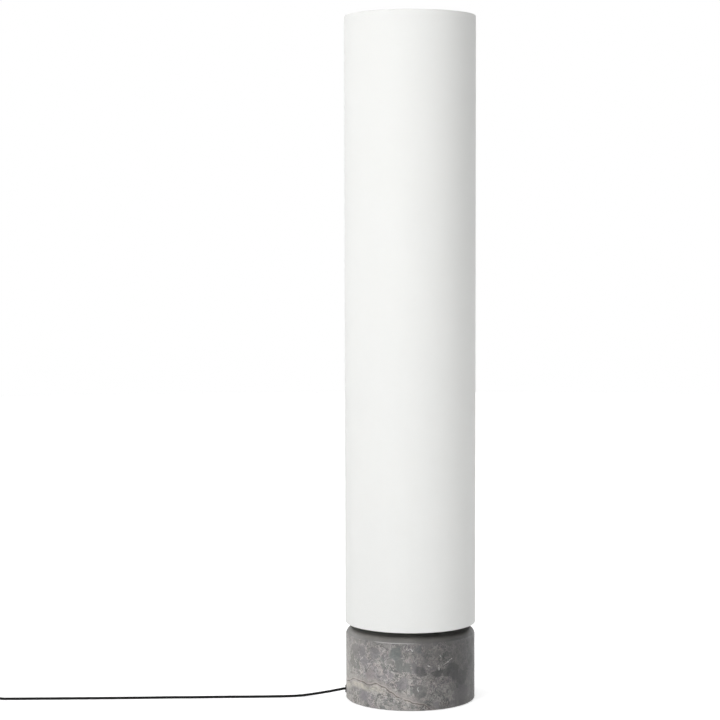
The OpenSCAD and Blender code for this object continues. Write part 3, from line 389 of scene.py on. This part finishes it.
# Smooth patches as (place, size, colour, share)
PATCHES = [
    ((0.014, -0.113, 0.0705), 0.012, ISLAND_GREY, 0.75), ((0.045, -0.105, 0.065), 0.009, ISLAND_GREY, 0.70),
    ((0.072, -0.088, 0.066), 0.015, ISLAND_GREY, 0.60), ((0.088, -0.073, 0.052), 0.017, ISLAND_GREY, 0.60),
    ((-0.027, -0.111, 0.101), 0.012, TEAL_GREY, 0.60), ((0.012, -0.113, 0.107), 0.009, TEAL_GREY, 0.55),
    ((-0.072, -0.088, 0.058), 0.012, ROSE_GREY, 0.70), ((-0.065, -0.094, 0.098), 0.013, LILAC_GREY, 0.50),
    ((-0.015, -0.113, 0.048), 0.012, LILAC_GREY, 0.50), ((-0.084, -0.077, 0.022), 0.016, LILAC_GREY, 0.50),
    ((0.014, -0.113, 0.036), 0.013, ISLAND_GREY, 0.30), ((0.088, -0.073, 0.020), 0.022, ISLAND_GREY, 0.20),
    ((-0.030, 0.109, 0.080), 0.020, ISLAND_GREY, 0.60), ((0.110, 0.028, 0.050), 0.018, ISLAND_GREY, 0.60),
]
# White flecks as (start, end, half width, share)
FLECKS = [
    ((-0.010, -0.1135, 0.108), (-0.005, -0.1139, 0.107), 0.0011, 0.9),
    ((-0.003, -0.1140, 0.109), (0.001, -0.1140, 0.105), 0.0011, 0.8),
    ((0.046, -0.1043, 0.098), (0.052, -0.1014, 0.092), 0.0010, 0.6),
    ((0.056, -0.0993, 0.079), (0.069, -0.0907, 0.087), 0.0011, 0.7),
    ((0.027, -0.1108, 0.079), (0.031, -0.1097, 0.077), 0.0014, 0.9),
    ((0.047, -0.1039, 0.078), (0.047, -0.1039, 0.070), 0.0013, 0.8),
    ((0.010, -0.1136, 0.041), (0.011, -0.1135, 0.033), 0.0013, 0.8),
    ((0.050, 0.102, 0.062), (0.058, 0.098, 0.058), 0.0013, 0.8),
]


def stone_cells(s, drifted, clouds):
    """Cells with a tone and a tint of their own, and patches. Also says where the stone is quiet."""
    cell = s.cells(CELL_SCALE, "F1", drifted, out="Color")
    tone = s.weighed(s.axis("X", cell), CELL_SHARE, clouds, CLOUD_SHARE)
    ground = s.mix(s.span(tone, *TONE_RANGE), DARK_GREY, LIGHT_GREY)
    for way, share, colour in TINTS:
        ground = s.mix(s.times(s.span(s.axis("Y", cell), *way), share), ground, colour)
    inside = s.span(s.cells(CELL_SCALE, place=drifted), *CELL_INSIDE)
    quiet = s.times(s.span(s.axis("Z", cell), *QUIET_CELLS), inside)
    ragged = s.shaken(s.shaken(s.place, *RAGGED), *CRUMBLED)
    for place, size, colour, share in PATCHES:
        spot = s.blot(place, size, ragged)
        ground = s.mix(s.times(spot, share), ground, colour)
        quiet = s.math("MAXIMUM", quiet, s.times(spot, PATCH_QUIET))
    return ground, quiet


def stone_band(s, ground, quiet, clouds, x, above):
    """The band that follows the vein: smooth and pale above it, beige in places below it."""
    pale = s.times(s.span(above, *PALE_STARTS), s.span(above, *PALE_ENDS))
    ground = s.mix(s.times(pale, s.span(x, *PALE_FADES)), ground, BAND_GREY)
    quiet = s.math("MAXIMUM", quiet, s.times(pale, BAND_QUIET))
    beige = s.times(s.span(above, *BEIGE_STARTS), s.span(above, *BEIGE_ENDS))
    beige = s.times(beige, s.times(s.span(x, *BEIGE_LEFT), s.span(clouds, *BEIGE_CLOUDS)))
    return s.mix(beige, ground, BEIGE), quiet


def stone_strokes(s, ground, quiet, drifted, x):
    """Short crooked lines: thick on the left and the middle, few on the right, none in the quiet cells."""
    busy = s.times(s.span(quiet, *QUIET_STROKES), s.span(x, *FEW_STROKES))
    for scale, width, share, colour in STROKES:
        ridge = s.away(s.noise(scale, 2, 0.5, 1.6, place=s.moved(drifted, scale)), 0.5)
        here = s.span(s.noise(scale * 1.3, 2, 0.5, place=s.moved(s.place, scale)), *STROKES_HERE)
        line = s.times(s.span(ridge, width, width * 0.35), here)
        ground = s.mix(s.times(line, busy, share), ground, colour)
    return ground


def stone_vein(s, ground, above):
    """The vein itself, dark and thin between two pale lines, and broken here and there."""
    for level, width, share, colour in VEIN_LINES:
        line = s.span(s.away(above, level), width, width * 0.3)
        unbroken = s.span(s.noise(60, 2, 0.5, place=s.moved(s.place, level * 90)), *VEIN_HERE)
        ground = s.mix(s.times(line, unbroken, share), ground, colour)
    return ground


def stone_shoulder_and_shading(s, ground, x, z, above):
    """The plain shoulder with its painted shadow and light, and painted shade that changes over the whole
    stone.
    """
    # The shoulder's colour: darker to the right as painted shadow, paler to the top as painted light
    plain = s.mix(s.span(x, *SHOULDER_SHADOW_RIGHT), SHOULDER_GREY, SHOULDER_SHADOW_GREY)
    plain = s.mix(s.span(z, *SHOULDER_LIGHT_TOP), plain, TOP_PAINTED_LIGHT)
    low, high = SHOULDER_HEIGHT - SHOULDER_EDGE, SHOULDER_HEIGHT + SHOULDER_EDGE
    ground = s.mix(s.span(z, low, high, 0.0, SHOULDER_SHARE), ground, plain)
    # Painted shade: lighter along the vein, darker towards the top and in three steps to the right
    depth = s.times(s.span(above, *PAINTED_SHADE_ABOVE), *[s.span(x, *way) for way in PAINTED_SHADE_RIGHT])
    return s.mix(1.0, ground, depth, "MULTIPLY")


def stone_flecks_and_highlight(s, ground, x, z):
    """White flecks with frayed edges, and a painted highlight along the arris under the shoulder."""
    frayed = s.shaken(s.place, *FRAYED)
    crumbs = s.span(s.noise(CRUMB_SCALE, 2, 0.6), 0.38, 0.56, 0.15, 1.0)
    for start, end, width, share in FLECKS:
        line = s.times(s.streak(start, end, width, frayed), crumbs)
        ground = s.mix(s.times(line, share), ground, FLECK_AND_HIGHLIGHT_WHITE)
    # A painted highlight: a thin pale line along the arris
    arris_highlight = s.span(s.away(z, SHOULDER_HEIGHT), *ARRIS_WIDTH)
    arris_highlight = s.times(arris_highlight, s.times(s.span(x, *ARRIS_STARTS), s.span(x, *ARRIS_ENDS)))
    return s.mix(s.times(arris_highlight, ARRIS_HIGHLIGHT_SHARE), ground, FLECK_AND_HIGHLIGHT_WHITE)


def marble():
    """Honed grey marble: clouds, tinted cells, short broken strokes, one dark vein in a paler band, and painted
    shade and highlights.
    """
    s = Shader("marble", specular_ior_level=0.40)
    x, z = s.axis("X"), s.axis("Z")
    drifted = s.shaken(s.place, *DRIFT)
    shaken = s.shaken(drifted, *SHAKE)
    strays = s.times(s.math("SUBTRACT", s.noise(110, 3, 0.6), 0.5), VEIN_STRAYS)
    above = s.math("ADD", s.math("SUBTRACT", z, s.line_over(x, LONG_VEIN)), strays)
    clouds = s.span(s.noise(CLOUD_SCALE, 5, 0.62, place=drifted), *CLOUD_RANGE)
    ground, quiet = stone_cells(s, drifted, clouds)
    ground, quiet = stone_band(s, ground, quiet, clouds, x, above)
    ground = stone_strokes(s, ground, quiet, drifted, x)
    ground = s.mix(s.span(x, *LEFT_EDGE), ground, BEIGE)
    speckle = s.span(s.noise(SPECKLE_SCALE, 3, 0.7, place=shaken), 0.46, 0.64)
    ground = s.mix(s.times(speckle, SPECKLE_SHARE), ground, DARK_GREY)
    ground = stone_vein(s, ground, above)
    ground = stone_shoulder_and_shading(s, ground, x, z, above)
    s.set("Base Color", stone_flecks_and_highlight(s, ground, x, z))
    s.roughen(s.noise(60, 4, 0.6), 0.42, 0.58)
    grain = s.bump(s.noise(GRAIN_SCALE, 3, 0.6), 0.25, 0.0002)
    s.set("Normal", s.bump(s.cells(PIT_SCALE, place=shaken), 0.12, 0.0006, grain))
    return s.material


# ---------- materials: the rest ----------

THREAD_PITCH = 0.0011
SLUB_LONG, SLUB_SHORT = 40, 900  # scales of the slubs' noise, along the thread and across it
TAPE_RIB = 0.0008


def canvas():
    """Fine white cotton canvas: a plain weave in the piece's own UV map, with slubs and a soft nap."""
    s = Shader("canvas", roughness=0.92, specular_ior_level=0.18, sheen_weight=0.15, sheen_roughness=0.5)
    uv = s.node("UVMap", out="UV", uv_map="cloth")
    waves = []
    for name, slubs in (("X", (SLUB_SHORT, SLUB_LONG, 1)), ("Y", (SLUB_LONG, SLUB_SHORT, 1))):
        slub = s.times(s.noise(1, 2, 0.5, place=s.stretched(slubs, uv)), 1.2)
        phase = s.math("MULTIPLY_ADD", s.axis(name, uv), 2 * math.pi / THREAD_PITCH, slub)
        waves.append(s.math("SINE", phase))
    warp, weft = waves
    threads = s.weighed(s.math("ABSOLUTE", warp), 0.5, s.math("ABSOLUTE", weft), 0.5)
    height = s.math("ADD", s.times(warp, weft, 0.5), threads)
    thick = s.span(s.noise(1, 3, 0.6, place=s.stretched((28, 1100, 1), uv)), 0.55, 0.80)
    # Darker in the weave's hollows, paler on the threads: painted shade in the weave
    tone = s.mix(s.span(height, 0.2, 1.2), (0.775, 0.780, 0.765), (0.850, 0.855, 0.840))
    tone = s.mix(s.times(thick, 0.22), tone, (0.700, 0.700, 0.670))
    tone = s.mix(s.span(s.noise(5, 3, 0.5), 0.40, 0.60, 0.0, 0.25), tone, (0.820, 0.820, 0.800))
    s.set("Base Color", tone)
    slack = s.bump(s.noise(7, 2, 0.5), 0.05, 0.002)
    s.set("Normal", s.bump(s.math("ADD", height, s.times(thick, 0.4)), 0.18, 0.0002, slack))
    return s.material


def laminate():
    """The lining: white translucent sheet with a faint cloud and a satin face."""
    s = Shader("laminate", specular_ior_level=0.35)
    s.set("Base Color", s.mix(s.noise(9, 4, 0.5), (0.80, 0.80, 0.78), (0.90, 0.90, 0.885)))
    s.roughen(s.noise(40, 3, 0.5), 0.38, 0.52)
    s.set("Normal", s.bump(s.noise(300, 2, 0.5), 0.06, 0.0003))
    return s.material


def powder_coat():
    """White powder coat with its fine orange peel and a little grime."""
    s = Shader("powder_coat", specular_ior_level=0.5)
    tone = s.mix(s.span(s.noise(18, 5, 0.6), 0.35, 0.70), (0.80, 0.80, 0.785), (0.72, 0.72, 0.70))
    s.set("Base Color", s.mix(s.span(s.cells(420, "F1"), 0.15, 0.6, 0.0, 0.12), tone, (0.62, 0.62, 0.60)))
    s.roughen(s.noise(60, 3, 0.5), 0.30, 0.44)
    s.set("Normal", s.bump(s.noise(1300, 3, 0.6), 0.18, 0.0002))
    return s.material


def metal(name, colour, darker, roughness, brushed):
    """Plated or brushed metal: stretched fine scratches, cloudy roughness and handling marks."""
    s = Shader(name, metallic=1.0)
    fine = s.noise(1, 4, 0.65, place=s.stretched(brushed))
    cloud = s.noise(45, 4, 0.6)
    s.set("Base Color", s.mix(s.span(s.weighed(fine, 0.5, cloud, 0.5), 0.35, 0.65), darker, colour))
    s.roughen(s.weighed(fine, 0.6, cloud, 0.4), roughness, roughness + 0.16)
    s.set("Normal", s.bump(fine, 0.12, 0.0001))
    return s.material


def plastic(name, colour, worn, roughness, grain=1100, depth=0.14, gloss=0.45):
    """Moulded plastic or rubber: a fine grain, patches that hands have polished and a little dust."""
    s = Shader(name, specular_ior_level=gloss)
    patches = s.noise(38, 4, 0.55)
    tone = s.mix(s.span(patches, 0.42, 0.70), colour, worn)
    dust = s.times(s.span(s.noise(420, 2, 0.5), 0.62, 0.75), 0.25)
    s.set("Base Color", s.mix(dust, tone, tuple(0.5 * c + 0.08 for c in worn)))
    s.roughen(patches, roughness + 0.08, roughness - 0.06)
    s.set("Normal", s.bump(s.noise(grain, 2, 0.6), depth, 0.0002))
    return s.material


def felt():
    """Dark grey pressed felt with loose fibres."""
    s = Shader("felt", roughness=0.97, specular_ior_level=0.1, sheen_weight=0.4, sheen_roughness=0.5)
    fibres = s.noise(1, 4, 0.75, 2.0, place=s.stretched((900, 260, 900)))
    s.set("Base Color", s.mix(fibres, (0.018, 0.018, 0.019), (0.075, 0.075, 0.078)))
    s.set("Normal", s.bump(fibres, 0.5, 0.0004))
    return s.material


def opal():
    """Opal lamp glass: an even milky white under a clear gloss."""
    s = Shader("opal_glass", roughness=0.16, specular_ior_level=0.5, coat_weight=0.6, coat_roughness=0.06)
    s.set("Base Color", s.mix(s.noise(30, 3, 0.5), (0.84, 0.84, 0.82), (0.91, 0.91, 0.90)))
    s.set("Normal", s.bump(s.noise(60, 2, 0.5), 0.02, 0.0005))
    return s.material


def strap():
    """The tie: black woven tape with a small rib."""
    s = Shader("woven_strap", roughness=0.85, specular_ior_level=0.2, sheen_weight=0.3, sheen_roughness=0.5)
    rib = s.times(*[s.math("SINE", s.times(s.axis(name), 2 * math.pi / TAPE_RIB)) for name in "YZ"])
    # Darker between the ribs, paler on them: painted shade in the weave
    s.set("Base Color", s.mix(s.span(rib, -1.0, 1.0), (0.012, 0.012, 0.013), (0.040, 0.040, 0.042)))
    s.set("Normal", s.bump(rib, 0.4, 0.0003))
    return s.material


def cord_sheath():
    """Matt black cord sheath: a satin skin with faint draw lines."""
    s = Shader("cord_sheath", specular_ior_level=0.10)
    s.set("Base Color", s.mix(s.noise(90, 3, 0.5), (0.0050, 0.0050, 0.0052), (0.0110, 0.0110, 0.0112)))
    s.roughen(s.noise(55, 3, 0.5), 0.46, 0.62)
    s.set("Normal", s.bump(s.noise(1200, 2, 0.5), 0.15, 0.0002))
    return s.material


MATERIALS = {
    "stone": marble(),
    "canvas": canvas(),
    "lining": laminate(),
    "felt": felt(),
    "white_metal": powder_coat(),
    "bright_steel": metal("nickel", (0.74, 0.73, 0.70), (0.58, 0.57, 0.55), 0.16, brushed=(60, 60, 900)),
    "zinc_steel": metal("zinc", (0.62, 0.63, 0.64), (0.42, 0.43, 0.44), 0.30, brushed=(500, 500, 120)),
    "brass": metal("brass", (0.78, 0.57, 0.26), (0.60, 0.42, 0.18), 0.24, brushed=(70, 70, 700)),
    "white_plastic": plastic("white_plastic", (0.76, 0.76, 0.74), (0.80, 0.80, 0.785), 0.34),
    "black_plastic": plastic("black_plastic", (0.012, 0.012, 0.0125), (0.022, 0.022, 0.023), 0.42,
                             grain=1500, depth=0.3, gloss=0.24),
    "black_gloss": plastic("black_button", (0.010, 0.010, 0.0105), (0.018, 0.018, 0.0185), 0.26,
                           grain=1500, depth=0.05, gloss=0.35),
    "black_rubber": plastic("black_rubber", (0.014, 0.014, 0.014), (0.026, 0.026, 0.026), 0.58,
                            grain=800, depth=0.3, gloss=0.16),
    "black_cord": cord_sheath(),
    "lead_insulation": plastic("lead_sheath", (0.74, 0.74, 0.72), (0.78, 0.78, 0.76), 0.45),
    "tie_strap": strap(),
    "opal_glass": opal(),
}


def give(piece, slot):
    piece.data.materials.clear()
    piece.data.materials.append(MATERIALS[slot])


SMOOTH_UNDER = math.radians(32)
for part in frame["record"]["subparts"]:
    node = NODES[part["node"]]
    give(node, part["material_slot"])
    node.data.shade_smooth()
    node.data.set_sharp_from_angle(angle=SMOOTH_UNDER)
for cord in (supply_run, supply_lead):
    give(cord, "black_cord")

# ---------- shade: one sheet of canvas round the rings, lapped at the back ----------

SHADE_LOW, SHADE_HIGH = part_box("shade_canvas")
SHADE_RADIUS, SHADE_BOTTOM, SHADE_TOP = SHADE_HIGH.x, SHADE_LOW.z, SHADE_HIGH.z
RING_LOW, RING_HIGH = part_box("bottom_ring")
RING_RADIUS = RING_HIGH.x - (RING_HIGH.z - RING_LOW.z) / 2
FOLD = SHADE_RADIUS - RING_RADIUS
CLOTH = 0.00042  # the sheet's thickness
HEM, HEM_STEPS = 0.015, 5
UPPER_EDGE = 0.0004  # how far the sheet's upper edge reaches down inside the upper fold
LAP, LAP_RAMP, RAMP_STEPS = 0.010, 0.003, 3
LAP_LIFT = CLOTH * 1.04
RAMP_CLEAR = LAP_RAMP * 1.5
FOLD_SQUARENESS = 0.55
FOLD_STEP, HALF_TURN = 10, 180  # degrees
AROUND = 240
UP_ROWS = 72


def squared(value):
    """A sine or cosine pushed outwards, so that a fold has flat sides and a tight corner."""
    return math.copysign(abs(value) ** FOLD_SQUARENESS, value)


def round_ring(height, reach, degrees):
    """The fold round a ring wire: from outside over it, or with a negative reach from inside under it."""
    turns = [math.radians(a) for a in degrees]
    return [(RING_RADIUS + reach * squared(math.cos(t)), height + reach * squared(math.sin(t)))
            for t in turns]


def cloth_section():
    """The sheet's middle line as (radius, height): up inside, round the lower ring, up the wall, over."""
    r = FOLD - CLOTH / 2
    low, high = SHADE_BOTTOM + FOLD, SHADE_TOP - FOLD
    hem = [(RING_RADIUS - r, SHADE_BOTTOM + HEM * (1 - i / HEM_STEPS) + FOLD * i / HEM_STEPS)
           for i in range(HEM_STEPS)]
    lower = round_ring(low, -r, range(0, HALF_TURN, FOLD_STEP))
    wall = [(RING_RADIUS + r, low + (high - low) * i / UP_ROWS) for i in range(UP_ROWS + 1)]
    upper = round_ring(high, r, range(FOLD_STEP, HALF_TURN + 1, FOLD_STEP))
    return hem + lower + wall + upper + [(RING_RADIUS - r, high - UPPER_EDGE)]


def cloth_steps(width):
    """The columns' places along the sheet's width: even, and closer where the lap starts to climb."""
    lap_start = width - LAP
    even = [width * i / AROUND for i in range(AROUND + 1)]
    ramp = [lap_start - LAP_RAMP * k / RAMP_STEPS for k in range(RAMP_STEPS + 1)]
    return sorted(set([s for s in even if abs(s - lap_start) > RAMP_CLEAR] + ramp))


def cloth_mesh(section, along, wall, width):
    """The sheet without its thickness, with its flat shape as the UV map."""
    bm = bmesh.new()
    uv = bm.loops.layers.uv.new("cloth")
    steps = cloth_steps(width)
    columns = []
    for s in steps:
        lift = LAP_LIFT * smooth((s - (width - LAP) + LAP_RAMP) / LAP_RAMP)
        a = math.pi / 2 - LAP / 2 / wall + s / wall
        column = []
        for r, z in section:
            reach = r + lift if r > RING_RADIUS else r - lift
            column.append(bm.verts.new((reach * math.cos(a), reach * math.sin(a), z)))
        columns.append(column)
    for i in range(len(steps) - 1):
        for j in range(len(section) - 1):
            corners = ((i, j), (i + 1, j), (i + 1, j + 1), (i, j + 1))
            face = bm.faces.new([columns[k][m] for k, m in corners])
            face.smooth = True
            for loop, (k, m) in zip(face.loops, corners):
                loop[uv].uv = (steps[k], along[m])
    return mesh_of("shade_cloth", bm)


def make_cloth():
    """The shade's canvas, one sheet with its own thickness."""
    section = cloth_section()
    along = [0.0]
    for (r0, z0), (r1, z1) in zip(section, section[1:]):
        along.append(along[-1] + math.hypot(r1 - r0, z1 - z0))
    wall = SHADE_RADIUS - CLOTH / 2
    width = 2 * math.pi * wall + LAP
    cloth = put("shade_cloth", cloth_mesh(section, along, wall, width))
    thick = cloth.modifiers.new("thickness", "SOLIDIFY")
    thick.thickness = CLOTH
    thick.offset = 0
    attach(cloth, "shade")
    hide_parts("shade_canvas")
    give(cloth, "canvas")


make_cloth()

# ---------- stage and light ----------

FLOOR_RADIUS, FLOOR_SIDES = 7.0, 96
FLOOR_COLOUR = 0.80
# Distances from the axis and the floor's own glow there; upward directions and the world's strength there
GLOW_REACH, FLOOR_GLOW = (0.4, 2.5), (0.54, 0.66)
LOW_LIGHT, LOW_LIGHT_ENDS = 0.75, (0.10, 0.31)
TOP_LIGHT, TOP_LIGHT_STARTS = 2.16, (0.81, 0.91)
WHITE = 1.0
AIM_HEIGHT = 0.6
# Name, azimuth in degrees from the front and positive to the right, height, distance, width, tallness, watts
SOFTBOXES = [
    ("key", -32, 1.9, 2.9, 1.1, 2.0, 23.4),
    ("low_key", -32, 1.2, 2.9, 1.1, 2.0, 18.4),
    ("low_front", -5, 0.8, 2.9, 1.1, 1.2, 13.6),
    ("left_rim", -125, 1.2, 2.9, 1.1, 2.0, 20.6),
    ("right_rim", 130, 0.35, 1.6, 0.8, 0.7, 3.2),
    ("right_fill", 80, 0.35, 1.4, 0.7, 0.6, 1.75),
]


def make_floor():
    """A round white floor that is plain white for the camera and still keeps the lamp's shadow."""
    bm = bmesh.new()
    bmesh.ops.create_circle(bm, cap_ends=True, segments=FLOOR_SIDES, radius=FLOOR_RADIUS)
    floor = put("floor", mesh_of("floor", bm))
    s = Shader("floor")
    s.tree.nodes.remove(s.surface)
    near = s.vector("LENGTH", s.place, out="Value")
    glow = s.times(s.span(near, *GLOW_REACH, *FLOOR_GLOW), s.seen_directly())
    colour = s.node("BsdfDiffuse", {"Color": FLOOR_COLOUR})
    both = s.node("AddShader", {0: colour, 1: s.node("Emission", {"Strength": glow})})
    s.feed(s.tree.nodes["Material Output"].inputs["Surface"], both)
    floor.data.materials.append(s.material)


def make_world():
    """White where it is seen. It lights the lamp from low down all round and from straight above."""
    world = bpy.data.worlds.new("studio")
    bpy.context.scene.world = world
    world.use_nodes = True
    s = Nodes(world.node_tree, "Generated")
    upward = s.axis("Z")
    low = s.span(upward, *LOW_LIGHT_ENDS, LOW_LIGHT, 0.0)
    top = s.span(upward, *TOP_LIGHT_STARTS, 0.0, TOP_LIGHT)
    back = s.tree.nodes["Background"].inputs
    s.feed(back["Color"], WHITE)
    s.feed(back["Strength"], s.node("Mix", {0: s.seen_directly(), 2: s.math("ADD", low, top), 3: WHITE}))


def softbox(name, azimuth, height, distance, width, tallness, watts):
    """A soft light round the lamp, aimed at its axis."""
    data = bpy.data.lights.new(name, "AREA")
    data.shape = "RECTANGLE"
    data.size, data.size_y = width, tallness
    data.energy = watts
    light = put(name, data)
    a = math.radians(azimuth)
    light.location = (distance * math.sin(a), -distance * math.cos(a), height)
    aim = Vector((0, 0, AIM_HEIGHT)) - light.location
    light.rotation_euler = aim.to_track_quat("-Z", "Y").to_euler()


make_floor()
make_world()
for row in SOFTBOXES:
    softbox(*row)
bpy.context.scene.view_settings.view_transform = "Standard"

bpy.context.view_layer.update()
